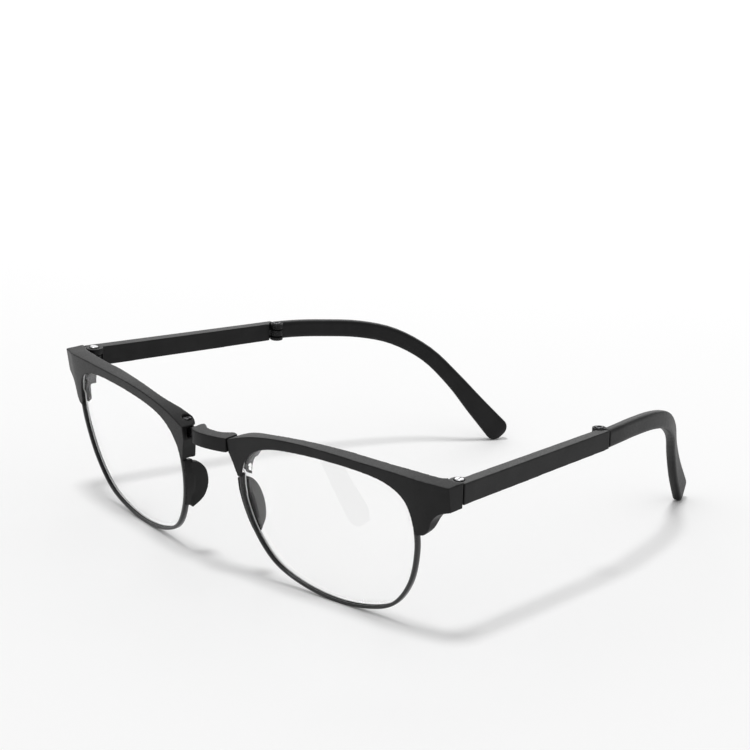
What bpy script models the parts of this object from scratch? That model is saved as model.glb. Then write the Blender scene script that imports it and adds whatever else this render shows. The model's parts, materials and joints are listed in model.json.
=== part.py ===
"""Folding reading glasses, standing open with the left half part folded.

The glasses are designed in a hinge frame, in millimetres: +X to the right as seen from the
front, +Y back along the arms, +Z up along the bridge hinge pins, x = 0 at the middle of the
bridge. Each half is modelled on the right, and the left one is mirrored. At the end the whole
set is parented to one empty that stands it on its rims and arm tips, with the origin under
the middle of its bounding box. A pair of heights is always (low, high).
"""

import math

import bmesh
import bpy
from mathutils import Matrix, Vector

MM = 0.001

# Driving dimensions, millimetres and degrees.
HALF_WIDTH = 69.4          # middle of the bridge to the outer face of the end piece
GAP = 0.3                  # between touching pieces
PIN_GAP = 0.15             # between a pin and its hole
REACH = 14.0               # how far a cutter runs past the piece that it cuts
LEAN = 0.116               # how far the lenses lean back per millimetre down
WRAP = 0.026               # how far each lens turns back per millimetre outwards
FRONT_Y = -0.62            # front face of the brow at the bridge
LEFT_FOLD = 14.2           # how far the left half is folded back as it stands

# Bridge hinge.
BRIDGE_AXIS = (9.4, 2.8)   # x, y of the pin
BRIDGE_TONGUE_Z = (-4.6, -2.9)
BRIDGE_TONGUE_R = 1.5
LEFT_PIN_Z = (-6.0, -1.2)    # the left pin drops in from above, its head on top
RIGHT_PIN_Z = (-6.1, -1.9)   # the right pin goes in from below, its head underneath
HEAD_HEIGHT = 0.4
LOWER_EAR_Z = -6.2         # underside of the ear below the link's tongue
EAR_BACK = 2.9             # back of the brow below that ear
LINK_RIGHT_X = 6.2
LINK_LEFT_X = -5.3
LINK_Z = (-5.35, -1.95)
NECK_BACK = 0.35           # back of the link's neck, behind the pin's axis

# Lenses and rims.
LENS_EDGE = 0.6            # depth of the lens in the brow's groove
LENS_THICKNESS = 0.8
LENS_SETBACK = 1.0         # lens middle behind the brow's front face
LENS_BLEND = 5             # outline steps over which the lens edge leaves the groove
RIM_CLEARANCE = 0.03       # opening's edge to the rim's inner face
RIM_WIDTH = 0.8
RIM_DEPTH = 1.4

# Arms.
TEMPLE_AXIS = (66.7, 9.5)  # x, y of the temple hinge screw at z = 0
ARM_DROP = 3.5             # downward slope of the arms
ARM_TOE = 1.74             # inward slope of the arms
ARM_OUTER = 2.7            # outer face of an arm from its hinge axis
ARM_INNER = -0.5           # inner face, the same way
ARM_TOP = -0.3
ARM_HEIGHT = 4.8
ARM_LENGTH = 52.7          # temple hinge to mid hinge
TAPER_START = 3.0          # where the front half starts to narrow
SEAM_V = -1.5              # front end of the arm's outer face
SEAM_HALF = 0.15           # half the seam between the two halves of an arm

# Temple hinge, in the arm's own frame.
TEMPLE_EAR_R = 2.3
TEMPLE_TONGUE_R = 1.9
TEMPLE_TONGUE_W = (-3.6, -2.1)
TEMPLE_SCREW_W = (-5.0, 0.0)
TEMPLE_HEAD_HEIGHT = 0.6
TONGUE_ROOT = (1.4, -4.0)  # half width of the tongue's root, and where it starts
SLOT_OUTER = 1.7           # outer wall of the room between the arm's ears
NUT_HEIGHT = 0.6

# Mid hinge, in the arm's own frame.
MID_U = -0.4               # hinge axis from the temple hinge axis, outwards
MID_KNUCKLE_R = 1.65
MID_TOP = -0.45
MID_HEIGHT = 4.4
MID_TONGUE_W = (-3.5, -2.0)
MID_HEAD_HEIGHT = 0.3
MID_RING_R = 0.6           # hollow in the pin's head

PIN_RADIUS = 0.55
HEAD_RADIUS = 1.05
NUT_RADIUS = 1.1
HEAD_OVERLAP = 0.2         # how far a pin runs up into its head
DRIVER_SLOT = (0.17, 0.25) # half width and depth of a screw's slot

ROUND = 32                 # sides of a hinge knuckle
PIN_SIDES = 24
SHARP_ANGLE = 35

# Outline of the lens opening in x and z, a smooth closed loop, clockwise from the nose.
EYE = [
    (10.2, -9.2), (12.6, -5.1), (17.0, -2.4), (24.0, -1.0), (35.0, -0.4), (47.0, -0.7),
    (54.0, -2.0), (58.2, -5.0), (59.8, -10.5), (59.5, -16.8), (56.8, -24.8), (51.5, -31.2),
    (44.0, -34.1), (34.5, -35.0), (25.0, -33.6), (17.2, -30.0), (12.2, -23.2), (9.9, -15.5),
]
EYE_STEPS = 8
EYE_MIDDLE_X = 35.0
OUTER_TIP_Z = -12.5        # where the brow ends beside the lens, temple side
INNER_TIP_Z = -10.9        # the same, nose side

# Brow outline beyond the lens opening: upper edge, the stepped underside of the end piece,
# and the nose side.
BROW_TOP = [
    (6.5, -2.1), (11.6, -0.4), (17.1, 0.8), (24.0, 1.6), (33.0, 2.0), (44.0, 1.8),
    (54.5, 1.5), (61.6, 1.0), (HALF_WIDTH, 0.05),
]
END_UNDERSIDE = [(HALF_WIDTH, -5.6), (66.3, -6.6), (64.5, -8.4), (63.6, -10.8), (62.4, -12.1)]
OUTER_TIP_X = 60.9
INNER_TIP_WIDTH = 0.5
NOSE_SIDE = [(8.5, -10.7), (7.5, -7.8), (6.5, -5.4)]

# Plan of the brow at z = 0 in x and y: front face, end piece, back face, hinge end.
PLAN_FRONT = [(6.5, FRONT_Y), (30.0, -0.35), (50.0, 0.15), (61.0, 0.85), (65.7, 2.0), (69.1, 3.0)]
PLAN_BACK = [
    (66.2, 8.6), (65.3, 6.8), (63.7, 5.9), (60.0, 5.1), (52.0, 4.1), (42.0, 3.8), (33.0, 3.0),
    (22.0, 2.4), (17.0, 2.7), (13.0, 3.5), (9.4, 4.1),
]
PLAN_HINGE_END = [(9.4, 4.1), (7.6, 3.6), (6.5, 2.2)]
# Side view of the brow's rounded lower back corner, y and z.
SIDE_CORNER = [(6.4, -7.0), (5.8, -9.3), (4.5, -11.1), (2.3, -12.7)]
OUTER_RELIEF = [(54.0, 3.4), (61.8, 3.4), (65.6, 6.0), (65.6, 13.0), (54.0, 13.0)]
RELIEF_TOP = -6.9          # the brow's back is cut away below this, beside the lens
BROW_SPAN_Y = (-6.0, 14.0)
BROW_SPAN_Z = (-18.0, 6.0)

# Plan of the link in x and y: its back face from left to right, then its front face back
# round to the left end, which is rounded.
LINK_BACK = [
    (LINK_LEFT_X, 3.3), (-4.8, 3.9), (-3.8, 3.4), (-2.2, 2.3), (0.0, 2.0), (2.2, 2.3),
    (3.6, 3.2), (4.9, 3.9), (LINK_RIGHT_X, 3.4),
]
LINK_FRONT = [
    (LINK_RIGHT_X, -0.5), (3.0, -1.2), (0.0, -1.5), (-2.6, -1.3), (-4.2, -0.8), (-5.1, 0.0),
    (LINK_LEFT_X, 1.1),
]

# Middle line of the rear arm in the arm's own frame: outwards, back, up.
REAR_PATH = [
    (1.35, ARM_LENGTH + SEAM_HALF, -2.65), (0.8, 59.0, -2.75), (-0.4, 66.5, -3.2),
    (-2.2, 77.0, -4.35), (-4.6, 86.5, -6.9), (-8.1, 95.0, -12.0), (-11.6, 101.5, -19.0),
    (-14.1, 107.3, -26.3), (-16.1, 113.3, -33.4),
]
# Height and thickness of the rear arm at each of those points.
REAR_SECTION = [
    (4.4, 2.7), (4.4, 2.7), (4.4, 2.7), (4.4, 2.6), (4.3, 2.5), (4.1, 2.4), (4.3, 2.4),
    (5.3, 2.4), (6.3, 2.4),
]
REAR_STEPS = 4
CORNER = 0.29              # rounding of the rear arm's edges, as a share of its thickness
TIP_LENGTH = 2.6
TIP_STEPS = 5
TIP_TURN = 80              # degrees of the half ellipse that closes the tip

# Nose fin in y and z, how its x changes with y and z, and the saddle that joins it to the
# nose side of the rim.
PAD_OUTLINE = [(2.5, -11.6), (4.5, -12.0), (6.6, -14.4), (7.5, -18.2), (6.7, -21.8), (4.1, -24.2)]
PAD_THICKNESS = 1.6
PAD_X = 5.9
PAD_TURN = -0.12
PAD_LEAN = -0.25
SADDLE_STEPS = 13          # outline steps from the brow's inner tip to the saddle's low end
SADDLE_WIDTH = 0.6         # at its upper end
MIN_SADDLE = 0.15          # width at its low end
SADDLE_SETBACK = 0.2       # behind the front of the rim
SADDLE_BACK = 1.1          # behind the back of the rim

COLOURS = {
    "black_plastic": ((0.022, 0.022, 0.023, 1.0), 0.55, 0.0),
    "black_wire": ((0.015, 0.015, 0.016, 1.0), 0.3, 0.0),
    "clear_lens": ((0.92, 0.94, 0.95, 0.25), 0.03, 0.0),
    "silver_steel": ((0.75, 0.75, 0.76, 1.0), 0.25, 1.0),
    "dark_steel": ((0.05, 0.05, 0.055, 1.0), 0.35, 1.0),
}


def clear_scene():
    for thing in list(bpy.data.objects):
        bpy.data.objects.remove(thing, do_unlink=True)


def new_collection(name):
    collection = bpy.data.collections.new(name)
    bpy.context.scene.collection.children.link(collection)
    return collection


def make_material(name):
    colour, roughness, metallic = COLOURS[name]
    material = bpy.data.materials.new(name)
    material.use_nodes = True
    shader = material.node_tree.nodes["Principled BSDF"]
    shader.inputs["Base Color"].default_value = colour
    shader.inputs["Alpha"].default_value = colour[3]
    shader.inputs["Roughness"].default_value = roughness
    shader.inputs["Metallic"].default_value = metallic
    return material


def spline_points(controls, steps, closed=False):
    """Points along a smooth curve through the control points: each span is a Hermite cubic
    whose tangents follow its neighbours."""
    count = len(controls)
    vectors = [Vector(point) for point in controls]
    spans = count if closed else count - 1
    points = []
    for i in range(spans):
        here = vectors[i]
        there = vectors[(i + 1) % count]
        before = vectors[i - 1] if closed or i > 0 else here
        after = vectors[(i + 2) % count] if closed or i + 2 < count else there
        start = (there - before) * 0.5
        end = (after - here) * 0.5
        for k in range(steps):
            t = k / steps
            points.append(
                here * (2 * t**3 - 3 * t**2 + 1) + start * (t**3 - 2 * t**2 + t)
                + there * (3 * t**2 - 2 * t**3) + end * (t**3 - t**2)
            )
    if not closed:
        points.append(vectors[-1])
    return points


def offset_loop(loop, distance):
    """A clockwise loop moved outwards by a distance."""
    count = len(loop)
    moved = []
    for i, point in enumerate(loop):
        along = (loop[(i + 1) % count] - loop[i - 1]).normalized()
        moved.append(point + Vector((-along.y, along.x)) * distance)
    return moved


def mesh_of(thing):
    """The evaluated mesh of an object, which is then removed."""
    bpy.context.view_layer.update()
    evaluated = thing.evaluated_get(bpy.context.evaluated_depsgraph_get())
    mesh = bpy.data.meshes.new_from_object(evaluated)
    mesh.transform(thing.matrix_world)
    bpy.data.objects.remove(thing, do_unlink=True)
    work = bmesh.new()
    work.from_mesh(mesh)
    bmesh.ops.remove_doubles(work, verts=work.verts, dist=0.002 * MM)
    bmesh.ops.recalc_face_normals(work, faces=work.faces)
    work.to_mesh(mesh)
    work.free()
    return mesh


def add_object(name, data):
    thing = bpy.data.objects.new(name, data)
    bpy.context.scene.collection.objects.link(thing)
    return thing


def prism(points, low, high, plane):
    """A flat outline extruded between two levels. plane "xy" extrudes along Z, "xz" along Y,
    and "yz" along X."""
    curve = bpy.data.curves.new("outline", "CURVE")
    curve.dimensions = "2D"
    curve.fill_mode = "BOTH"
    curve.extrude = (high - low) / 2 * MM
    spline = curve.splines.new("POLY")
    spline.points.add(len(points) - 1)
    for target, point in zip(spline.points, points):
        target.co = (point[0] * MM, point[1] * MM, 0.0, 1.0)
    spline.use_cyclic_u = True
    thing = add_object("outline", curve)
    turn = {
        "xy": Matrix.Identity(4),
        "xz": Matrix(((1, 0, 0, 0), (0, 0, 1, 0), (0, 1, 0, 0), (0, 0, 0, 1))),
        "yz": Matrix(((0, 0, 1, 0), (1, 0, 0, 0), (0, 1, 0, 0), (0, 0, 0, 1))),
    }[plane]
    middle = Matrix.Translation((0.0, 0.0, (low + high) / 2 * MM))
    thing.matrix_world = turn @ middle
    return mesh_of(thing)


def cylinder(centre, radius, low, high, sides=ROUND, frame=None):
    """A closed cylinder along Z of a frame, between two heights in millimetres."""
    work = bmesh.new()
    bmesh.ops.create_cone(
        work, cap_ends=True, segments=sides, radius1=radius * MM, radius2=radius * MM,
        depth=(high - low) * MM,
    )
    place = Matrix.Translation((centre[0] * MM, centre[1] * MM, (low + high) / 2 * MM))
    return finished(work, place, frame)


def box(low, high, frame=None):
    """A closed box between two corners of a frame, in millimetres."""
    work = bmesh.new()
    bmesh.ops.create_cube(work, size=1.0)
    size = [(b - a) * MM for a, b in zip(low, high)]
    middle = [(a + b) / 2 * MM for a, b in zip(low, high)]
    place = Matrix.Translation(middle) @ Matrix.Diagonal((*size, 1.0))
    return finished(work, place, frame)


def finished(work, place, frame):
    mesh = bpy.data.meshes.new("solid")
    work.to_mesh(mesh)
    work.free()
    mesh.transform(place)
    if frame is not None:
        mesh.transform(frame)
    return mesh


def combine(base, tool, operation):
    """Boolean of two meshes with the exact solver, returned as a mesh."""
    target = add_object("target", base)
    cutter = add_object("cutter", tool)
    modifier = target.modifiers.new("cut", "BOOLEAN")
    modifier.operation = operation
    modifier.solver = "EXACT"
    modifier.object = cutter
    mesh = mesh_of(target)
    bpy.data.objects.remove(cutter, do_unlink=True)
    return mesh


def cut(base, *tools):
    for tool in tools:
        base = combine(base, tool, "DIFFERENCE")
    return base


def join(base, *tools):
    for tool in tools:
        base = combine(base, tool, "UNION")
    return base


def lean_back(mesh):
    """Shear that leans a front piece back below the brow line."""
    shear = Matrix.Identity(4)
    shear[1][2] = -LEAN
    mesh.transform(shear)
    return mesh


def wrap_round(mesh):
    """Shear that turns a flat lens back towards the temple."""
    shear = Matrix.Identity(4)
    shear[1][0] = WRAP
    mesh.transform(shear)
    return lean_back(mesh)


def lens_plane_y(offset):
    """Level of a plane behind the brow's front face, before wrapping and leaning."""
    return FRONT_Y - WRAP * BRIDGE_AXIS[0] + offset


def arm_frame():
    """Frame of an arm: origin on the temple hinge, +Y along the arm, +Z up the hinge screw."""
    return (
        Matrix.Translation((TEMPLE_AXIS[0] * MM, TEMPLE_AXIS[1] * MM, 0.0))
        @ Matrix.Rotation(math.radians(-ARM_DROP), 4, "X")
        @ Matrix.Rotation(math.radians(ARM_TOE), 4, "Z")
    )


def eye_loop():
    return spline_points(EYE, EYE_STEPS, closed=True)


def split_eye():
    """The opening's loop, with the first and last of its points beside the rim."""
    loop = eye_loop()
    outer = [i for i, p in enumerate(loop) if p.x > EYE_MIDDLE_X and p.y < OUTER_TIP_Z]
    inner = [i for i, p in enumerate(loop) if p.x < EYE_MIDDLE_X and p.y < INNER_TIP_Z]
    return loop, outer[0], inner[-1]


def make_brow(pin_from_above):
    """The front outline, cut to its plan and its side view, with its groove and hinges."""
    loop, rim_start, rim_end = split_eye()
    opening = loop[rim_end + 1:] + loop[:rim_start]
    outline = spline_points(BROW_TOP, 5)
    outline += spline_points(END_UNDERSIDE, 4)
    outline.append(Vector((OUTER_TIP_X, OUTER_TIP_Z)))
    outline.append(Vector((opening[-1].x, OUTER_TIP_Z)))
    outline += reversed(opening)
    outline.append(Vector((opening[0].x, INNER_TIP_Z)))
    inner_tip = (opening[0].x - INNER_TIP_WIDTH, INNER_TIP_Z)
    outline += spline_points([inner_tip] + NOSE_SIDE, 2)
    brow = prism(outline, *BROW_SPAN_Y, "xz")

    plan = spline_points(PLAN_FRONT, 5)
    plan.append(Vector((HALF_WIDTH, PLAN_BACK[0][1])))
    plan += spline_points(PLAN_BACK, 3)[:-1]
    plan += spline_points(PLAN_HINGE_END, 3)
    brow = combine(brow, lean_back(prism(plan, *BROW_SPAN_Z, "xy")), "INTERSECT")
    brow = combine(brow, side_profile(), "INTERSECT")
    relief = lean_back(prism(OUTER_RELIEF, BROW_SPAN_Z[0], RELIEF_TOP, "xy"))
    brow = cut(brow, relief)

    middle = lens_plane_y(LENS_SETBACK)
    half = LENS_THICKNESS / 2 + GAP
    groove_loop = offset_loop(loop, LENS_EDGE + GAP)
    groove = wrap_round(prism(groove_loop, middle - half, middle + half, "xz"))
    brow = cut(brow, groove, *bridge_slot(pin_from_above), *temple_pocket())
    return join(brow, temple_tongue())


def side_profile():
    """Everything in front of the brow's rounded lower back corner, seen from the side."""
    front, back = BROW_SPAN_Y
    top = BROW_SPAN_Z[1]
    corner = spline_points(SIDE_CORNER, 3)
    profile = [Vector((front, top)), Vector((back, top)), Vector((back, corner[0].y + GAP))]
    profile += corner
    profile.append(Vector((front, corner[-1].y)))
    return prism(profile, 0.0, HALF_WIDTH + REACH, "yz")


def bridge_slot(pin_from_above):
    """Room for the link's tongue and neck to swing, the pin's hole, and the step in the
    brow's back below the hinge."""
    x, y = BRIDGE_AXIS
    low, high = BRIDGE_TONGUE_Z
    reach = BRIDGE_TONGUE_R + GAP
    slot = box((0.0, y - reach, low - GAP), (x + reach, y + REACH, high + GAP))
    if pin_from_above:
        shaft = (-REACH, REACH)
        sink = (LEFT_PIN_Z[1] - HEAD_HEIGHT - PIN_GAP, REACH)
    else:
        shaft = (-REACH, RIGHT_PIN_Z[1] + PIN_GAP)
        sink = (-REACH, RIGHT_PIN_Z[0] + HEAD_HEIGHT + PIN_GAP)
    hole = cylinder(BRIDGE_AXIS, PIN_RADIUS + PIN_GAP, *shaft, PIN_SIDES)
    head = cylinder(BRIDGE_AXIS, HEAD_RADIUS + PIN_GAP, *sink, PIN_SIDES)
    step = lean_back(box((0.0, EAR_BACK, -REACH), (EYE[2][0], REACH, LOWER_EAR_Z)))
    return slot, hole, head, step


def temple_pocket():
    """Flush seam and round pocket for the arm's ears at the back of the end piece."""
    frame = arm_frame()
    seam = box((-REACH / 2, SEAM_V - GAP, -REACH), (REACH, REACH, REACH), frame)
    pocket = cylinder((0, 0), TEMPLE_EAR_R + GAP, -REACH, REACH, ROUND, frame)
    return seam, pocket


def temple_tongue():
    """The end piece's tongue between the arm's ears, with the screw's hole."""
    frame = arm_frame()
    low, high = TEMPLE_TONGUE_W
    half, start = TONGUE_ROOT
    tongue = join(
        cylinder((0, 0), TEMPLE_TONGUE_R, low, high, ROUND, frame),
        box((-half, start, low), (half, 0.0, high), frame),
    )
    hole = cylinder((0, 0), PIN_RADIUS + PIN_GAP, -REACH, REACH, PIN_SIDES, frame)
    return cut(tongue, hole)


def make_lens():
    """A flat lens whose edge sits in the brow's groove above and inside the rim below."""
    loop, rim_start, rim_end = split_eye()
    in_groove = offset_loop(loop, LENS_EDGE)
    in_rim = offset_loop(loop, -GAP)
    outline = []
    for i in range(len(loop)):
        beside_brow = i < rim_start - LENS_BLEND or i > rim_end + LENS_BLEND
        outline.append(in_groove[i] if beside_brow else in_rim[i])
    middle = lens_plane_y(LENS_SETBACK)
    half = LENS_THICKNESS / 2
    return wrap_round(prism(outline, middle - half, middle + half, "xz"))


def make_rim_wire():
    """A thin strip round the lower part of the lens, from tip to tip of the brow."""
    loop, rim_start, rim_end = split_eye()
    edges = []
    for distance in (RIM_CLEARANCE, RIM_CLEARANCE + RIM_WIDTH):
        line = offset_loop(loop, distance)
        start = Vector((line[rim_start].x, OUTER_TIP_Z - GAP))
        end = Vector((line[rim_end].x, INNER_TIP_Z - GAP))
        edges.append([start] + line[rim_start + 1:rim_end] + [end])
    inner, outer = edges
    front = lens_plane_y(0.0)
    return wrap_round(prism(outer + inner[::-1], front, front + RIM_DEPTH, "xz"))


def make_nose_pad():
    """A flat D-shaped fin behind the rim, on a saddle that hugs the rim's nose side."""
    outline = spline_points(PAD_OUTLINE, 4)
    pad = prism(outline, -PAD_THICKNESS / 2, PAD_THICKNESS / 2, "yz")
    slope = Matrix.Identity(4)
    slope[0][1] = PAD_TURN
    slope[0][2] = PAD_LEAN
    slope[0][3] = PAD_X * MM
    pad.transform(slope)
    front = lens_plane_y(SADDLE_SETBACK)
    back = lens_plane_y(RIM_DEPTH)
    rim_side = RIM_CLEARANCE + RIM_WIDTH + PIN_GAP
    return join(
        pad,
        saddle_strip(rim_side, front, back + SADDLE_BACK),
        saddle_strip(0.0, back + PIN_GAP, back + SADDLE_BACK),
    )


def saddle_strip(near, front, back):
    """A strip along the nose side of the rim between two depths, from a distance off the
    lens opening out to the saddle's edge, which tapers towards its low end."""
    loop, _, rim_end = split_eye()
    first = rim_end - SADDLE_STEPS
    rim_side = RIM_CLEARANCE + RIM_WIDTH + PIN_GAP
    inner = offset_loop(loop, near)[first:rim_end + 1]
    low_edge = offset_loop(loop, rim_side + MIN_SADDLE)[first:rim_end + 1]
    full_edge = offset_loop(loop, rim_side + SADDLE_WIDTH)[first:rim_end + 1]
    outer = [low_edge[k].lerp(full_edge[k], k / SADDLE_STEPS) for k in range(len(inner))]
    return wrap_round(prism(outer + inner[::-1], front, back, "xz"))


def make_bridge_link():
    """The bowed link over the nose, with a tongue at each end."""
    plan = spline_points(LINK_BACK, 4) + spline_points(LINK_FRONT, 4)
    link = prism(plan, *LINK_Z, "xy")
    low, high = BRIDGE_TONGUE_Z
    x, y = BRIDGE_AXIS
    for side, end in ((1, LINK_RIGHT_X), (-1, LINK_LEFT_X)):
        centre = (side * x, y)
        near, far = sorted((end - side, side * x))
        tongue = join(
            cylinder(centre, BRIDGE_TONGUE_R, low, high),
            box((near, y - BRIDGE_TONGUE_R, low), (far, y + NECK_BACK, high)),
        )
        hole = cylinder(centre, PIN_RADIUS + PIN_GAP, -REACH, REACH, PIN_SIDES)
        link = join(link, cut(tongue, hole))
    return link


def slotted_pin(length, head_height):
    """A pin up the Z axis, from z = 0 to its slotted cheese head."""
    low = length - head_height
    pin = join(
        cylinder((0, 0), PIN_RADIUS, 0.0, low + HEAD_OVERLAP, PIN_SIDES),
        cylinder((0, 0), HEAD_RADIUS, low, length, PIN_SIDES),
    )
    half, depth = DRIVER_SLOT
    return cut(pin, box((-REACH, -half, length - depth), (REACH, half, REACH)))


def make_bridge_pin(pin_from_above):
    low, high = LEFT_PIN_Z if pin_from_above else RIGHT_PIN_Z
    pin = slotted_pin(high - low, HEAD_HEIGHT)
    if not pin_from_above:
        pin.transform(Matrix.Translation((0.0, 0.0, (high - low) * MM))
                      @ Matrix.Rotation(math.pi, 4, "X"))
    pin.transform(Matrix.Translation((BRIDGE_AXIS[0] * MM, BRIDGE_AXIS[1] * MM, low * MM)))
    return pin


def make_temple_screw():
    low, high = TEMPLE_SCREW_W
    screw = slotted_pin(high - low, TEMPLE_HEAD_HEIGHT)
    screw.transform(arm_frame() @ Matrix.Translation((0.0, 0.0, low * MM)))
    return screw


def make_temple_nut():
    """The insert in the arm's lower ear that takes the end of the screw."""
    frame = arm_frame()
    low = ARM_TOP - ARM_HEIGHT + PIN_GAP / 2
    nut = cylinder((0, 0), NUT_RADIUS, low, low + NUT_HEIGHT, 6, frame)
    bore = cylinder((0, 0), PIN_RADIUS + PIN_GAP, -REACH, REACH, PIN_SIDES, frame)
    return cut(nut, bore)


def make_temple_front():
    """The front half of an arm: two ears at the temple hinge, a tongue at the mid hinge."""
    frame = arm_frame()
    low = ARM_TOP - ARM_HEIGHT
    seam = ARM_LENGTH - SEAM_HALF
    plan = [
        (ARM_OUTER, SEAM_V), (ARM_OUTER, seam), (0.0, seam), (ARM_INNER, 8.0),
        (ARM_INNER, 1.5), (1.5, SEAM_V),
    ]
    arm = prism(plan, low, ARM_TOP, "xy")
    taper(arm, seam, (low, ARM_TOP), (MID_TOP - MID_HEIGHT, MID_TOP))
    arm.transform(frame)
    mid = (MID_U, ARM_LENGTH)
    arm = join(
        arm,
        cylinder((0, 0), TEMPLE_EAR_R, low, ARM_TOP, ROUND, frame),
        cylinder(mid, MID_KNUCKLE_R, *MID_TONGUE_W, ROUND, frame),
    )
    room = (TEMPLE_TONGUE_W[0] - GAP, TEMPLE_TONGUE_W[1] + GAP)
    corner = [
        (-REACH, -REACH), (SLOT_OUTER, -REACH), (SLOT_OUTER, 0.0), (0.0, 0.0),
        (0.0, SLOT_OUTER), (-REACH, SLOT_OUTER),
    ]
    swing = prism(corner, *room, "xy")
    swing.transform(frame)
    mid_low, mid_high = MID_TONGUE_W
    sweep = TEMPLE_TONGUE_R + GAP
    hole = PIN_RADIUS + PIN_GAP
    knuckle = MID_KNUCKLE_R + GAP
    head_low = TEMPLE_SCREW_W[1] - TEMPLE_HEAD_HEIGHT - PIN_GAP
    nut_top = low + NUT_HEIGHT + PIN_GAP * 1.5
    return cut(
        arm,
        swing,
        cylinder((0, 0), sweep, *room, ROUND, frame),
        cylinder(mid, knuckle, mid_high, REACH, ROUND, frame),
        cylinder(mid, knuckle, -REACH, mid_low, ROUND, frame),
        cylinder((0, 0), hole, -REACH, REACH, PIN_SIDES, frame),
        cylinder((0, 0), HEAD_RADIUS + PIN_GAP, head_low, REACH, PIN_SIDES, frame),
        cylinder((0, 0), NUT_RADIUS + PIN_GAP, -REACH, nut_top, PIN_SIDES, frame),
        cylinder(mid, hole, -REACH, REACH, PIN_SIDES, frame),
    )


def taper(mesh, length, start, end):
    """Narrow an arm from its height at the hinge to its height at its far end."""
    for vertex in mesh.vertices:
        along = (vertex.co.y / MM - TAPER_START) / (length - TAPER_START)
        t = max(0.0, min(1.0, along))
        level = 0 if vertex.co.z / MM < (start[0] + start[1]) / 2 else 1
        vertex.co.z += t * (end[level] - start[level]) * MM


def section_ring(height, thickness):
    """A rounded rectangle as points in two directions, across and up."""
    corner = CORNER * thickness
    points = []
    for sx, sy, first in ((1, 1, 0), (-1, 1, 90), (-1, -1, 180), (1, -1, 270)):
        for step in (0, 45, 90):
            angle = math.radians(first + step)
            across = sx * (thickness / 2 - corner) + corner * math.cos(angle)
            up = sy * (height / 2 - corner) + corner * math.sin(angle)
            points.append((across, up))
    return points


def make_temple_rear():
    """The rear half of an arm: two ears at the mid hinge, and the curved tip."""
    frame = arm_frame()
    path = spline_points(REAR_PATH, REAR_STEPS)
    sizes = spline_points(REAR_SECTION, REAR_STEPS)
    rings = []
    for i, point in enumerate(path):
        before = path[max(i - 1, 0)]
        after = path[min(i + 1, len(path) - 1)]
        along = (after - before).normalized() if i else Vector((0.0, 1.0, 0.0))
        across = along.cross(Vector((0.0, 0.0, 1.0))).normalized()
        rings.append((point, across, across.cross(along), sizes[i]))
    rings += rounded_tip(along, *rings[-1])
    arm = loft(rings)
    arm.transform(frame)
    mid = (MID_U, ARM_LENGTH)
    low = MID_TOP - MID_HEIGHT + PIN_GAP
    high = MID_TOP + PIN_GAP
    mid_low, mid_high = MID_TONGUE_W
    return cut(
        join(arm, cylinder(mid, MID_KNUCKLE_R, low, high, ROUND, frame)),
        cylinder(mid, MID_KNUCKLE_R + GAP, mid_low - GAP, mid_high + GAP, ROUND, frame),
        cylinder(mid, PIN_RADIUS + PIN_GAP, -REACH, REACH, PIN_SIDES, frame),
        cylinder(mid, HEAD_RADIUS + PIN_GAP, MID_TOP - PIN_GAP, REACH, PIN_SIDES, frame),
    )


def rounded_tip(along, point, across, up, size):
    """Rings that close the arm's tip in a half ellipse."""
    rings = []
    for k in range(1, TIP_STEPS + 1):
        angle = math.radians(TIP_TURN * k / TIP_STEPS)
        centre = point + along * TIP_LENGTH * math.sin(angle)
        rings.append((centre, across, up, size * math.cos(angle)))
    return rings


def loft(rings):
    """A closed skin over rounded sections, each a point, two directions and a size."""
    work = bmesh.new()
    loops = []
    for point, across, up, size in rings:
        loop = []
        for a, b in section_ring(*size):
            loop.append(work.verts.new((point + across * a + up * b) * MM))
        loops.append(loop)
    count = len(loops[0])
    for first, second in zip(loops, loops[1:]):
        for i in range(count):
            j = (i + 1) % count
            work.faces.new((first[i], first[j], second[j], second[i]))
    work.faces.new(list(reversed(loops[0])))
    work.faces.new(loops[-1])
    bmesh.ops.recalc_face_normals(work, faces=work.faces)
    mesh = bpy.data.meshes.new("loft")
    work.to_mesh(mesh)
    work.free()
    return mesh


def make_mid_pin():
    """A pin with a ringed head."""
    frame = arm_frame()
    mid = (MID_U, ARM_LENGTH)
    low = MID_TOP - MID_HEIGHT + 2 * PIN_GAP
    top = MID_TOP + MID_HEAD_HEIGHT
    pin = join(
        cylinder(mid, PIN_RADIUS, low, MID_TOP + HEAD_OVERLAP, PIN_SIDES, frame),
        cylinder(mid, HEAD_RADIUS, MID_TOP, top, PIN_SIDES, frame),
    )
    return cut(pin, cylinder(mid, MID_RING_R, top - HEAD_OVERLAP, REACH, PIN_SIDES, frame))


def mirrored(mesh):
    copy = mesh.copy()
    copy.transform(Matrix.Scale(-1.0, 4, (1.0, 0.0, 0.0)))
    copy.flip_normals()
    return copy


def empty_at(name, place, parent, collection):
    """An empty on a joint's axis, with Z along the axis."""
    empty = bpy.data.objects.new(name, None)
    empty.empty_display_size = 5 * MM
    collection.objects.link(empty)
    if parent is not None:
        empty.parent = parent
        empty.matrix_parent_inverse = parent.matrix_world.inverted()
    empty.matrix_world = place
    bpy.context.view_layer.update()
    return empty


def add_piece(name, mesh, material, parent, collection):
    mesh.name = name
    mesh.materials.clear()
    mesh.materials.append(material)
    piece = bpy.data.objects.new(name, mesh)
    collection.objects.link(piece)
    piece.parent = parent
    piece.matrix_parent_inverse = parent.matrix_world.inverted()
    mesh.shade_smooth()
    mesh.set_sharp_from_angle(angle=math.radians(SHARP_ANGLE))
    return piece


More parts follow.
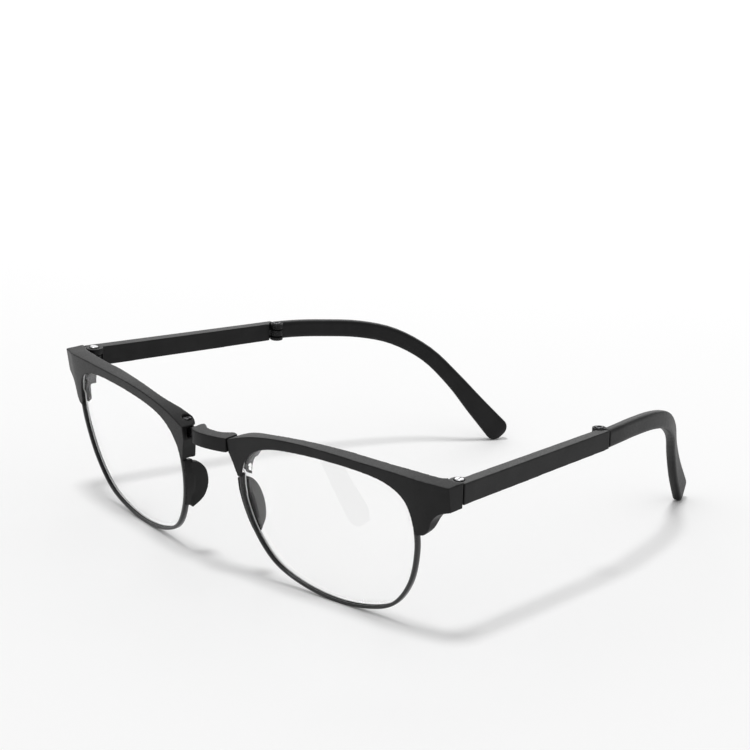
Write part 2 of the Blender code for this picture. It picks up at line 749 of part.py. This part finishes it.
def hinge_places(side):
    """Places of the bridge, temple and mid hinge axes of one half."""
    flip = Matrix.Scale(side, 4, (1.0, 0.0, 0.0))
    bridge = Matrix.Translation((side * BRIDGE_AXIS[0] * MM, BRIDGE_AXIS[1] * MM, 0.0))
    temple = flip @ arm_frame() @ flip
    mid = temple @ Matrix.Translation((side * MID_U * MM, ARM_LENGTH * MM, 0.0))
    return bridge, temple, mid


def stand_up(root, pieces, rests):
    """Turn the whole set so the rims and arm tips share one level, then put the origin under
    the middle of the bounding box."""
    bpy.context.view_layer.update()
    lows = [lowest_point(piece) for piece in rests]
    level = (lows[1] - lows[0]).cross(lows[2] - lows[0]).normalized()
    if level.z < 0:
        level = -level
    root.matrix_world = level.rotation_difference(Vector((0.0, 0.0, 1.0))).to_matrix().to_4x4()
    bpy.context.view_layer.update()
    corners = [p.matrix_world @ v.co for p in pieces for v in p.data.vertices]
    low = [min(c[i] for c in corners) for i in range(3)]
    high = [max(c[i] for c in corners) for i in range(3)]
    shift = Vector((-(low[0] + high[0]) / 2, -(low[1] + high[1]) / 2, -low[2]))
    root.matrix_world = Matrix.Translation(shift) @ root.matrix_world
    bpy.context.view_layer.update()


def lowest_point(piece):
    corners = [piece.matrix_world @ v.co for v in piece.data.vertices]
    return min(corners, key=lambda c: c.z)


def half_pieces(pin_from_above):
    """Name, mesh, material and the hinge that each piece of a half hangs on: 0 the bridge
    hinge, 1 the temple hinge, 2 the mid hinge."""
    return [
        ("brow", make_brow(pin_from_above), "black_plastic", 0),
        ("rim_wire", make_rim_wire(), "black_wire", 0),
        ("lens", make_lens(), "clear_lens", 0),
        ("nose_pad", make_nose_pad(), "black_plastic", 0),
        ("bridge_pin", make_bridge_pin(pin_from_above), "dark_steel", 0),
        ("temple_front", make_temple_front(), "black_plastic", 1),
        ("temple_screw", make_temple_screw(), "silver_steel", 1),
        ("temple_nut", make_temple_nut(), "silver_steel", 1),
        ("temple_rear", make_temple_rear(), "black_plastic", 2),
        ("mid_pin", make_mid_pin(), "dark_steel", 2),
    ]


def build():
    clear_scene()
    parts = new_collection("folding_reading_glasses")
    materials = {name: make_material(name) for name in COLOURS}
    root = empty_at("stance", Matrix.Identity(4), None, parts)
    link = make_bridge_link()
    pieces = [add_piece("bridge_link", link, materials["black_plastic"], root, parts)]
    rests = []

    for side, word in ((1, "right"), (-1, "left")):
        axes = []
        for joint, place in zip(("bridge", "temple", "mid"), hinge_places(side)):
            parent = axes[-1] if axes else root
            axes.append(empty_at(f"{word}_{joint}_axis", place, parent, parts))
        for name, mesh, material, hinge in half_pieces(side == -1):
            shape = mesh if side == 1 else mirrored(mesh)
            piece = add_piece(f"{word}_{name}", shape, materials[material], axes[hinge], parts)
            pieces.append(piece)
            if name == "rim_wire" or (name == "temple_rear" and side == 1):
                rests.append(piece)
        if side == -1:
            fold = Matrix.Rotation(math.radians(-LEFT_FOLD), 4, "Z")
            axes[0].matrix_world = axes[0].matrix_world @ fold
    stand_up(root, pieces, rests)


build()
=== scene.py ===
"""Looks for the folding reading glasses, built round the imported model.

The moulded pieces are skinned from their CAD nodes, with the edges rounded the way a mould
rounds them. The rims are swept again with a channel that holds the lens, the lenses are
domed, and the screws and pins are turned pieces on the hinge axes of the record. Lengths
named here are in millimetres and angles in degrees, apart from the studio's, which is in
metres like the frame.
"""

import json
import math

import bmesh
import bpy
from mathutils import Matrix, Vector


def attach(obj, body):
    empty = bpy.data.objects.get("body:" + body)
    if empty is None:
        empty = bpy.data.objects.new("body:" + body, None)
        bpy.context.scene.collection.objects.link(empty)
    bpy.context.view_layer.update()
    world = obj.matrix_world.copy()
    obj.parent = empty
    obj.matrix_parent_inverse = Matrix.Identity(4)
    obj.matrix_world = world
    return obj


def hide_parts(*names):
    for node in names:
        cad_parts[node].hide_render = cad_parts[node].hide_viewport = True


MM = 0.001
SIDES = ("right", "left")

# Camera, in the bridge's own frame: X from the left bridge pin to the right one, Z up the
# pins, and the origin in front of the middle of the link.
PIN_SETBACK = 2.8
CAMERA_PLACE = (395.7, -384.5, 195.9)
CAMERA_AZIMUTH = 41.83
CAMERA_ELEVATION = 18.56
CAMERA_ROLL = -1.02
CAMERA_LENS = 123.2
CAMERA_NEAR = 0.02

# Studio, in metres.
FLOOR_SIZE = 8.0
FLOOR_COLOUR = (0.95, 0.95, 0.95)
FLOOR_SHADE = 0.995        # how much darker its faint clouds are
SKY_STRENGTH = 0.56
SUN_STRENGTH = 1.22
SUN_SPREAD = 13.0
SUN_TILT = (7.0, -1.7)     # close to the plane of the fronts, so their shadows are streaks
BACK_PANEL_PLACE = (-0.50, 0.75, 0.42)
BACK_PANEL_SIZE = 0.7
BACK_PANEL_POWER = 1.8

# Moulded skins: the body each rides on, the size of the remesh cell and the number of
# smoothing passes.
SKINS = {
    "brow": ("front", 0.16, 4),
    "nose_pad": ("front", 0.14, 4),
    "temple_front": ("arm_front", 0.15, 4),
    "temple_rear": ("arm_rear", 0.16, 4),
}
LINK_SKIN = (0.14, 4)
SMOOTHING = 0.5            # share of the way to its neighbours' middle that a pass moves a point
SKIN_KEPT = 0.35           # share of the skin's faces kept after the decimation
WELD = 1e-6                # metres

# Rim section, across from the lens and back from the front, as shares of the CAD strip.
RIM_SECTION = [
    (0.06, 0.30), (0.00, 0.24), (0.00, 0.10), (0.10, 0.00), (0.85, 0.00), (1.00, 0.12),
    (1.04, 0.50), (1.00, 0.88), (0.85, 1.00), (0.12, 1.00), (0.00, 0.92), (0.00, 0.84),
    (0.06, 0.78), (0.42, 0.76), (0.42, 0.34),
]
RIM_RUN_ON = 1.2           # how far each tip runs on into the brow

# Lenses.
LENS_RINGS = 12
LENS_CLEARNESS = 0.93      # share of what stands behind a lens that shows untouched
FRONT_DOME = 0.55
BACK_DOME = 0.20
EDGE_SETBACK = 0.28        # how far each face is drawn in at the edge, as a share of the plate
GROOVE_REACH = 0.05        # how far the edge grows into the brow's groove
CHANNEL_REACH = 0.25       # how far it grows into the rim's channel
TIP_MARGIN = 9.0           # degrees inside the rim's tips where the edge changes over

# Hinge hardware.
TURN_STEPS = 48
SHAFT_RADIUS = 0.55
HEAD_RADIUS = 1.05
HEAD_CHAMFER = 0.12
BRIDGE_HEAD_HEIGHT = 0.4
TEMPLE_HEAD_HEIGHT = 0.6
MID_HEAD_HEIGHT = 0.3
SLOT_HALF_WIDTH = 0.16
SLOT_DEPTH = 0.24
RING_RADIUS = 0.62         # hollow in the head of a mid pin
RING_DEPTH = 0.2
RING_SLOPE = 0.08          # how much narrower the hollow is at its bottom
DIMPLE_RADIUS = 0.12       # the hollow's raised middle
DIMPLE_DEPTH = 0.16
CREASE_ANGLE = 40.0        # edges sharper than this stay sharp on turned pieces

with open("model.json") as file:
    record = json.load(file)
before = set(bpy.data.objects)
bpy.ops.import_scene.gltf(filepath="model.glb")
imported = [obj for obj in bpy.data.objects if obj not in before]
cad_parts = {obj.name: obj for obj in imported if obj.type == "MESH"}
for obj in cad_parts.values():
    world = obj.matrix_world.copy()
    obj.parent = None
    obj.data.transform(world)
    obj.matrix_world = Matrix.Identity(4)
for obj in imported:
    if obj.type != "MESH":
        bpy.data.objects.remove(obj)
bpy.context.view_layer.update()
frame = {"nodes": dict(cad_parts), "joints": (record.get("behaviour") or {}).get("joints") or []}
joints = {joint["name"]: joint for joint in frame["joints"]}


# ---------------------------------------------------------------- places from the frame


def hinge(name):
    """A joint's point, and its axis turned upwards."""
    place = Vector(joints[name]["pos_m"])
    axis = Vector(joints[name]["axis"]).normalized()
    return place, axis if axis.z > 0 else -axis


def bridge_frame():
    """The bridge's own frame, in which the camera is placed."""
    right, up = hinge("right_bridge_hinge")
    left, _ = hinge("left_bridge_hinge")
    across = (right - left).normalized()
    back = up.cross(across)
    place = Matrix((across, back, up)).transposed().to_4x4()
    place.translation = (right + left) / 2 - back * PIN_SETBACK * MM
    return place


def node_points(node):
    """The distinct vertices of a CAD node."""
    found = {}
    for vertex in frame["nodes"][node].data.vertices:
        found[tuple(round(c, 6) for c in vertex.co)] = vertex.co.copy()
    return list(found.values())


def span_along(node, place, axis):
    """Lowest and highest level of a node along an axis, in metres from a point."""
    levels = [(point - place).dot(axis) for point in node_points(node)]
    return min(levels), max(levels)


def lens_axes(side):
    """Middle of a lens, and its directions across, up and out of the front."""
    mesh = frame["nodes"][f"{side}_lens"].data
    largest = max(mesh.polygons, key=lambda face: face.area)
    out = largest.normal.copy()
    if out.y > 0:
        out = -out
    points = node_points(f"{side}_lens")
    middle = sum(points, Vector()) / len(points)
    across = Vector((0.0, 0.0, 1.0)).cross(out).normalized()
    return middle, across, out.cross(across).normalized(), out


def ordered(points, axes):
    """Points sorted by their angle round the lens, with the angle and the radius of each."""
    middle, across, up, _ = axes
    polar = []
    for point in points:
        away = point - middle
        x, y = away.dot(across), away.dot(up)
        # Angles run from the top of the lens, so that the rim's span is unbroken.
        polar.append((math.atan2(x, y) % math.tau, math.hypot(x, y), point))
    return sorted(polar, key=lambda entry: entry[0])


def front_and_back(node, axes):
    """A plate's points in two lists, each in order round the lens."""
    points = node_points(node)
    depths = [(point - axes[0]).dot(axes[3]) for point in points]
    middle = (min(depths) + max(depths)) / 2
    front = [p for p, depth in zip(points, depths) if depth > middle]
    back = [p for p, depth in zip(points, depths) if depth <= middle]
    return ordered(front, axes), ordered(back, axes)


# ---------------------------------------------------------------- materials


def new_material(name):
    """A material with its node tree and its shader."""
    material = bpy.data.materials.new(name)
    material.use_nodes = True
    tree = material.node_tree
    return material, tree, tree.nodes["Principled BSDF"]


def noise(tree, scale, detail=3.0, roughness=0.55):
    """Noise in the piece's own coordinates."""
    coordinates = tree.nodes.new("ShaderNodeTexCoord")
    texture = tree.nodes.new("ShaderNodeTexNoise")
    texture.inputs["Scale"].default_value = scale
    texture.inputs["Detail"].default_value = detail
    texture.inputs["Roughness"].default_value = roughness
    tree.links.new(coordinates.outputs["Object"], texture.inputs["Vector"])
    return texture.outputs["Fac"]


def remap(tree, value, low, high, start=0.3, end=0.7):
    """A value from start to end spread over low to high."""
    node = tree.nodes.new("ShaderNodeMapRange")
    node.inputs["From Min"].default_value = start
    node.inputs["From Max"].default_value = end
    node.inputs["To Min"].default_value = low
    node.inputs["To Max"].default_value = high
    tree.links.new(value, node.inputs["Value"])
    return node.outputs["Result"]


def blend_colours(tree, value, first, second):
    """A value turned into a colour between two."""
    ramp = tree.nodes.new("ShaderNodeValToRGB")
    ramp.color_ramp.elements[0].position = 0.35
    ramp.color_ramp.elements[0].color = (*first, 1.0)
    ramp.color_ramp.elements[1].position = 0.65
    ramp.color_ramp.elements[1].color = (*second, 1.0)
    tree.links.new(value, ramp.inputs["Fac"])
    return ramp.outputs["Color"]


def add_bump(tree, shader, height, strength, distance):
    """Relief on a shader from a height."""
    bump = tree.nodes.new("ShaderNodeBump")
    bump.inputs["Strength"].default_value = strength
    bump.inputs["Distance"].default_value = distance
    tree.links.new(height, bump.inputs["Height"])
    tree.links.new(bump.outputs["Normal"], shader.inputs["Normal"])


def black_plastic():
    """Injection moulded plastic with a fine spark-eroded grain."""
    material, tree, shader = new_material("black_plastic")
    shader.inputs["Specular IOR Level"].default_value = 0.22
    cloud = noise(tree, 160.0)
    grain = noise(tree, 3800.0, detail=2.0)
    colour = blend_colours(tree, cloud, (0.004, 0.004, 0.0042), (0.008, 0.008, 0.0083))
    tree.links.new(colour, shader.inputs["Base Color"])
    tree.links.new(remap(tree, grain, 0.36, 0.52), shader.inputs["Roughness"])
    add_bump(tree, shader, grain, 0.35, 0.00003)
    return material


def black_wire():
    """The rims: the same black with a smoother, polished skin."""
    material, tree, shader = new_material("black_wire")
    shader.inputs["Specular IOR Level"].default_value = 0.5
    waves = noise(tree, 900.0)
    colour = blend_colours(tree, waves, (0.004, 0.004, 0.0042), (0.008, 0.008, 0.0083))
    tree.links.new(colour, shader.inputs["Base Color"])
    tree.links.new(remap(tree, waves, 0.16, 0.3), shader.inputs["Roughness"])
    add_bump(tree, shader, waves, 0.1, 0.00002)
    return material


def clear_lens():
    """Clear acrylic: glass mixed with plain transparency, which throws no shadow."""
    material, tree, shader = new_material("clear_lens")
    shader.inputs["Base Color"].default_value = (1.0, 1.0, 1.0, 1.0)
    shader.inputs["Transmission Weight"].default_value = 1.0
    shader.inputs["IOR"].default_value = 1.49
    wipe = noise(tree, 60.0, detail=5.0)
    tree.links.new(remap(tree, wipe, 0.0, 0.012, 0.45, 0.8), shader.inputs["Roughness"])
    through = tree.nodes.new("ShaderNodeBsdfTransparent")
    ray = tree.nodes.new("ShaderNodeLightPath")
    mix = tree.nodes.new("ShaderNodeMixShader")
    clearness = tree.nodes.new("ShaderNodeMath")
    clearness.operation = "MAXIMUM"
    clearness.inputs[1].default_value = LENS_CLEARNESS
    tree.links.new(ray.outputs["Is Shadow Ray"], clearness.inputs[0])
    tree.links.new(clearness.outputs["Value"], mix.inputs["Fac"])
    tree.links.new(shader.outputs["BSDF"], mix.inputs[1])
    tree.links.new(through.outputs["BSDF"], mix.inputs[2])
    tree.links.new(mix.outputs["Shader"], tree.nodes["Material Output"].inputs["Surface"])
    return material


def ground_edge():
    """The lens's ground edge, frosted and pale."""
    material, tree, shader = new_material("lens_edge")
    shader.inputs["Transmission Weight"].default_value = 0.65
    shader.inputs["IOR"].default_value = 1.49
    marks = noise(tree, 5000.0)
    colour = blend_colours(tree, marks, (0.62, 0.63, 0.63), (0.84, 0.85, 0.85))
    tree.links.new(colour, shader.inputs["Base Color"])
    tree.links.new(remap(tree, marks, 0.4, 0.7), shader.inputs["Roughness"])
    add_bump(tree, shader, marks, 0.3, 0.00002)
    return material


def steel(name, dark, light, roughness):
    """Turned steel: rings round the piece's own axis, with fine scratches."""
    material, tree, shader = new_material(name)
    shader.inputs["Metallic"].default_value = 1.0
    coordinates = tree.nodes.new("ShaderNodeTexCoord")
    rings = tree.nodes.new("ShaderNodeTexWave")
    rings.wave_type = "RINGS"
    rings.rings_direction = "Z"
    rings.inputs["Scale"].default_value = 2200.0
    rings.inputs["Distortion"].default_value = 1.5
    rings.inputs["Detail"].default_value = 2.0
    tree.links.new(coordinates.outputs["Object"], rings.inputs["Vector"])
    scratches = noise(tree, 2600.0, detail=4.0)
    colour = blend_colours(tree, scratches, dark, light)
    tree.links.new(colour, shader.inputs["Base Color"])
    tree.links.new(remap(tree, scratches, roughness * 0.7, roughness * 1.3),
                   shader.inputs["Roughness"])
    add_bump(tree, shader, rings.outputs["Fac"], 0.15, 0.00001)
    return material


MATERIALS = {
    "black_plastic": black_plastic(),
    "black_wire": black_wire(),
    "clear_lens": clear_lens(),
    "lens_edge": ground_edge(),
    "silver_steel": steel("silver_steel", (0.55, 0.55, 0.56), (0.86, 0.86, 0.87), 0.26),
    "dark_steel": steel("dark_steel", (0.035, 0.035, 0.04), (0.09, 0.09, 0.095), 0.34),
}


# ---------------------------------------------------------------- making pieces


def object_from(name, work):
    """A new object from a bmesh."""
    mesh = bpy.data.meshes.new(name)
    work.to_mesh(mesh)
    work.free()
    piece = bpy.data.objects.new(name, mesh)
    bpy.context.scene.collection.objects.link(piece)
    return piece


def baked(piece):
    """Applies the piece's modifiers."""
    evaluated = piece.evaluated_get(bpy.context.evaluated_depsgraph_get())
    mesh = bpy.data.meshes.new_from_object(evaluated)
    piece.modifiers.clear()
    piece.data = mesh
    return piece


def finish_piece(piece, slot, body, *nodes):
    """Gives a piece its material and slot, and hangs it on its body in the nodes' place."""
    if not piece.data.materials:
        piece.data.materials.append(MATERIALS[slot])
    piece.data.shade_smooth()
    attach(piece, body)
    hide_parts(*nodes)
    return piece


def moulded_skin(node, name, cell, passes):
    """A copy of a CAD node with all its edges rounded over."""
    work = bmesh.new()
    work.from_mesh(frame["nodes"][node].data)
    bmesh.ops.remove_doubles(work, verts=work.verts, dist=WELD)
    piece = object_from(name, work)
    piece.data.materials.clear()
    skin = piece.modifiers.new("skin", "REMESH")
    skin.mode = "VOXEL"
    skin.voxel_size = cell * MM
    soft = piece.modifiers.new("soft", "SMOOTH")
    soft.factor = SMOOTHING
    soft.iterations = passes
    lighter = piece.modifiers.new("lighter", "DECIMATE")
    lighter.ratio = SKIN_KEPT
    return baked(piece)


def run_on(line):
    """A line carried on a little at both ends, so that the rim's tips enter the brow."""
    first = line[0] + (line[0] - line[1]).normalized() * RIM_RUN_ON * MM
    last = line[-1] + (line[-1] - line[-2]).normalized() * RIM_RUN_ON * MM
    return [first] + line + [last]


def make_rim(side):
    """The rim swept along the CAD strip, with a channel for the lens's edge."""
    axes = lens_axes(side)
    faces = front_and_back(f"{side}_rim_wire", axes)
    lines = []
    for points in faces:
        pairs = list(zip(points[0::2], points[1::2]))
        inner = [min(pair, key=lambda entry: entry[1])[2] for pair in pairs]
        outer = [max(pair, key=lambda entry: entry[1])[2] for pair in pairs]
        lines.append((run_on(inner), run_on(outer)))
    (inner, outer), (inner_back, _) = lines
    work = bmesh.new()
    rings = []
    for near, far, deep in zip(inner, outer, inner_back):
        ring = []
        for across, back in RIM_SECTION:
            point = near + (far - near) * across + (deep - near) * back
            ring.append(work.verts.new(point))
        rings.append(ring)
    skin_rings(work, rings)
    return object_from(f"{side}_rim", work)


def skin_rings(work, rings):
    """Closed skin over rings of equal length, with a cap on each end."""
    count = len(rings[0])
    for first, second in zip(rings, rings[1:]):
        for i in range(count):
            j = (i + 1) % count
            work.faces.new((first[i], first[j], second[j], second[i]))
    work.faces.new(list(reversed(rings[0])))
    work.faces.new(rings[-1])
    bmesh.ops.recalc_face_normals(work, faces=work.faces)


def mean_level(points, axes):
    """How far a plate's face lies in front of its middle."""
    return sum((entry[2] - axes[0]).dot(axes[3]) for entry in points) / len(points)


def lens_outline(side, axes, points):
    """The lens's outline grown into the brow's groove and the rim's channel."""
    _, across, up, _ = axes
    rim = ordered(node_points(f"{side}_rim_wire"), axes)
    margin = math.radians(TIP_MARGIN)
    start, end = rim[0][0] + margin, rim[-1][0] - margin
    outline = []
    for angle, _, point in points:
        reach = CHANNEL_REACH if start < angle < end else GROOVE_REACH
        away = across * math.sin(angle) + up * math.cos(angle)
        outline.append(point + away * reach * MM)
    return outline


def make_lens(side):
    """A domed lens with a ground edge."""
    axes = lens_axes(side)
    out = axes[3]
    front, back = front_and_back(f"{side}_lens", axes)
    setback = out * EDGE_SETBACK * (mean_level(front, axes) - mean_level(back, axes))
    work = bmesh.new()
    loops = []
    for points, dome, sign in ((front, FRONT_DOME, 1.0), (back, BACK_DOME, -1.0)):
        outline = [p - setback * sign for p in lens_outline(side, axes, points)]
        middle = sum(outline, Vector()) / len(outline)
        rings = []
        for k in range(LENS_RINGS):
            share = 1.0 - k / LENS_RINGS
            bulge = dome * (1.0 - share * share) * MM
            rings.append([
                work.verts.new(middle + (p - middle) * share + out * bulge) for p in outline
            ])
        centre = work.verts.new(middle + out * dome * MM)
        for first, second in zip(rings, rings[1:]):
            for i in range(len(outline)):
                j = (i + 1) % len(outline)
                work.faces.new((first[i], first[j], second[j], second[i]))
        for i in range(len(outline)):
            work.faces.new((rings[-1][i], rings[-1][(i + 1) % len(outline)], centre))
        loops.append(rings[0])
    edge = []
    for i in range(len(loops[0])):
        j = (i + 1) % len(loops[0])
        edge.append(work.faces.new((loops[0][i], loops[0][j], loops[1][j], loops[1][i])))
    bmesh.ops.recalc_face_normals(work, faces=work.faces)
    for face in edge:
        face.material_index = 1
    lens = object_from(f"{side}_clear_lens", work)
    lens.data.materials.append(MATERIALS["clear_lens"])
    lens.data.materials.append(MATERIALS["lens_edge"])
    return lens


def turned(name, profile, place, axis):
    """A piece turned from a profile of radius and height, standing on an axis."""
    work = bmesh.new()
    rings = []
    for radius, height in profile:
        ring = []
        for k in range(TURN_STEPS):
            angle = math.tau * k / TURN_STEPS
            ring.append(work.verts.new(
                (radius * MM * math.cos(angle), radius * MM * math.sin(angle), height * MM)
            ))
        rings.append(ring)
    skin_rings(work, rings)
    piece = object_from(name, work)
    upright = axis.to_track_quat("Z", "Y").to_matrix().to_4x4()
    piece.matrix_world = Matrix.Translation(place) @ upright
    return piece


def slotted(piece, top):
    """Cuts a screwdriver's slot across the top of a turned head."""
    work = bmesh.new()
    bmesh.ops.create_cube(work, size=1.0)
    size = (4 * HEAD_RADIUS * MM, 2 * SLOT_HALF_WIDTH * MM, 2 * SLOT_DEPTH * MM)
    work.transform(Matrix.Translation((0.0, 0.0, top * MM)) @ Matrix.Diagonal((*size, 1.0)))
    blade = object_from("blade", work)
    blade.matrix_world = piece.matrix_world.copy()
    bpy.context.view_layer.update()
    cut = piece.modifiers.new("slot", "BOOLEAN")
    cut.operation = "DIFFERENCE"
    cut.solver = "EXACT"
    cut.object = blade
    bpy.context.view_layer.update()
    baked(piece)
    bpy.data.objects.remove(blade, do_unlink=True)
    piece.data.set_sharp_from_angle(angle=math.radians(CREASE_ANGLE))
    return piece


def make_screw(node, name, joint, head_height, head_down=False):
    """A slotted screw on a hinge, as long as its CAD node."""
    place, axis = hinge(joint)
    low, high = span_along(node, place, axis)
    if head_down:
        axis = -axis
        low, high = -high, -low
    length = (high - low) / MM
    neck = length - head_height
    profile = [
        (SHAFT_RADIUS - HEAD_CHAMFER, 0.0),
        (SHAFT_RADIUS, HEAD_CHAMFER),
        (SHAFT_RADIUS, neck),
        (HEAD_RADIUS, neck),
        (HEAD_RADIUS, length - HEAD_CHAMFER),
        (HEAD_RADIUS - HEAD_CHAMFER, length),
    ]
    return slotted(turned(name, profile, place + axis * low, axis), length)


def make_mid_pin(side):
    """A pin whose head is turned hollow in the middle."""
    place, axis = hinge(f"{side}_mid_hinge")
    low, high = span_along(f"{side}_mid_pin", place, axis)
    length = (high - low) / MM
    neck = length - MID_HEAD_HEIGHT
    profile = [
        (SHAFT_RADIUS - HEAD_CHAMFER, 0.0),
        (SHAFT_RADIUS, HEAD_CHAMFER),
        (SHAFT_RADIUS, neck),
        (HEAD_RADIUS, neck),
        (HEAD_RADIUS, length - HEAD_CHAMFER),
        (HEAD_RADIUS - HEAD_CHAMFER, length),
        (RING_RADIUS, length),
        (RING_RADIUS - RING_SLOPE, length - RING_DEPTH),
        (DIMPLE_RADIUS, length - DIMPLE_DEPTH),
    ]
    pin = turned(f"{side}_ringed_pin", profile, place + axis * low, axis)
    pin.data.set_sharp_from_angle(angle=math.radians(CREASE_ANGLE))
    return pin


# ---------------------------------------------------------------- stage, light and camera


def make_stage():
    """A sheet of pale paper under the glasses."""
    bpy.ops.mesh.primitive_plane_add(size=FLOOR_SIZE)
    floor = bpy.context.object
    floor.name = "floor"
    material, tree, shader = new_material("floor_paper")
    tone = noise(tree, 3.0)
    shade = tuple(channel * FLOOR_SHADE for channel in FLOOR_COLOUR)
    tree.links.new(blend_colours(tree, tone, shade, FLOOR_COLOUR), shader.inputs["Base Color"])
    shader.inputs["Roughness"].default_value = 1.0
    shader.inputs["Specular IOR Level"].default_value = 0.0
    floor.data.materials.append(material)


def make_light():
    """White surroundings, a soft lamp overhead, and a panel behind for the upper edges."""
    world = bpy.data.worlds.new("studio")
    world.use_nodes = True
    backdrop = world.node_tree.nodes["Background"]
    backdrop.inputs["Color"].default_value = (1.0, 1.0, 1.0, 1.0)
    backdrop.inputs["Strength"].default_value = SKY_STRENGTH
    bpy.context.scene.world = world
    lamp = bpy.data.lights.new("overhead", "SUN")
    lamp.energy = SUN_STRENGTH
    lamp.angle = math.radians(SUN_SPREAD)
    sun = bpy.data.objects.new("overhead", lamp)
    sun.rotation_euler = [math.radians(turn) for turn in SUN_TILT] + [0.0]
    bpy.context.scene.collection.objects.link(sun)
    panel = bpy.data.lights.new("back_panel", "AREA")
    panel.size = BACK_PANEL_SIZE
    panel.energy = BACK_PANEL_POWER
    glow = bpy.data.objects.new("back_panel", panel)
    glow.location = BACK_PANEL_PLACE
    glow.rotation_euler = Vector(BACK_PANEL_PLACE).to_track_quat("Z", "Y").to_euler()
    bpy.context.scene.collection.objects.link(glow)


def make_camera():
    """The main camera, placed from the bridge."""
    azimuth = math.radians(CAMERA_AZIMUTH)
    elevation = math.radians(CAMERA_ELEVATION)
    back = Vector((
        math.sin(azimuth) * math.cos(elevation),
        -math.cos(azimuth) * math.cos(elevation),
        math.sin(elevation),
    ))
    right = Vector((math.cos(azimuth), math.sin(azimuth), 0.0))
    turn = Matrix((right, back.cross(right), back)).transposed().to_4x4()
    lens = bpy.data.cameras.new("camera")
    lens.lens = CAMERA_LENS
    lens.clip_start = CAMERA_NEAR
    camera = bpy.data.objects.new("camera", lens)
    bpy.context.scene.collection.objects.link(camera)
    place = Matrix.Translation([c * MM for c in CAMERA_PLACE])
    roll = Matrix.Rotation(math.radians(CAMERA_ROLL), 4, "Z")
    camera.matrix_world = bridge_frame() @ place @ turn @ roll
    bpy.context.scene.camera = camera


# ---------------------------------------------------------------- putting it together

make_camera()
make_stage()
make_light()

link = moulded_skin("bridge_link", "link_skin", *LINK_SKIN)
finish_piece(link, "black_plastic", "bridge", "bridge_link")

for side in SIDES:
    for part, (body, cell, passes) in SKINS.items():
        skin = moulded_skin(f"{side}_{part}", f"{side}_{part}_skin", cell, passes)
        finish_piece(skin, "black_plastic", f"{side}_{body}", f"{side}_{part}")
    finish_piece(make_rim(side), "black_wire", f"{side}_front", f"{side}_rim_wire")
    finish_piece(make_lens(side), "clear_lens", f"{side}_front", f"{side}_lens")
    bridge_screw = make_screw(
        f"{side}_bridge_pin", f"{side}_bridge_screw", f"{side}_bridge_hinge",
        BRIDGE_HEAD_HEIGHT, head_down=side == "right",
    )
    finish_piece(bridge_screw, "dark_steel", f"{side}_front", f"{side}_bridge_pin")
    temple_screw = make_screw(
        f"{side}_temple_screw", f"{side}_hinge_screw", f"{side}_temple_hinge",
        TEMPLE_HEAD_HEIGHT,
    )
    finish_piece(temple_screw, "silver_steel", f"{side}_arm_front", f"{side}_temple_screw")
    finish_piece(make_mid_pin(side), "dark_steel", f"{side}_arm_rear", f"{side}_mid_pin")
    nut = frame["nodes"][f"{side}_temple_nut"]
    nut.data.materials.clear()
    nut.data.materials.append(MATERIALS["silver_steel"])

bpy.context.scene.view_settings.view_transform = "Standard"
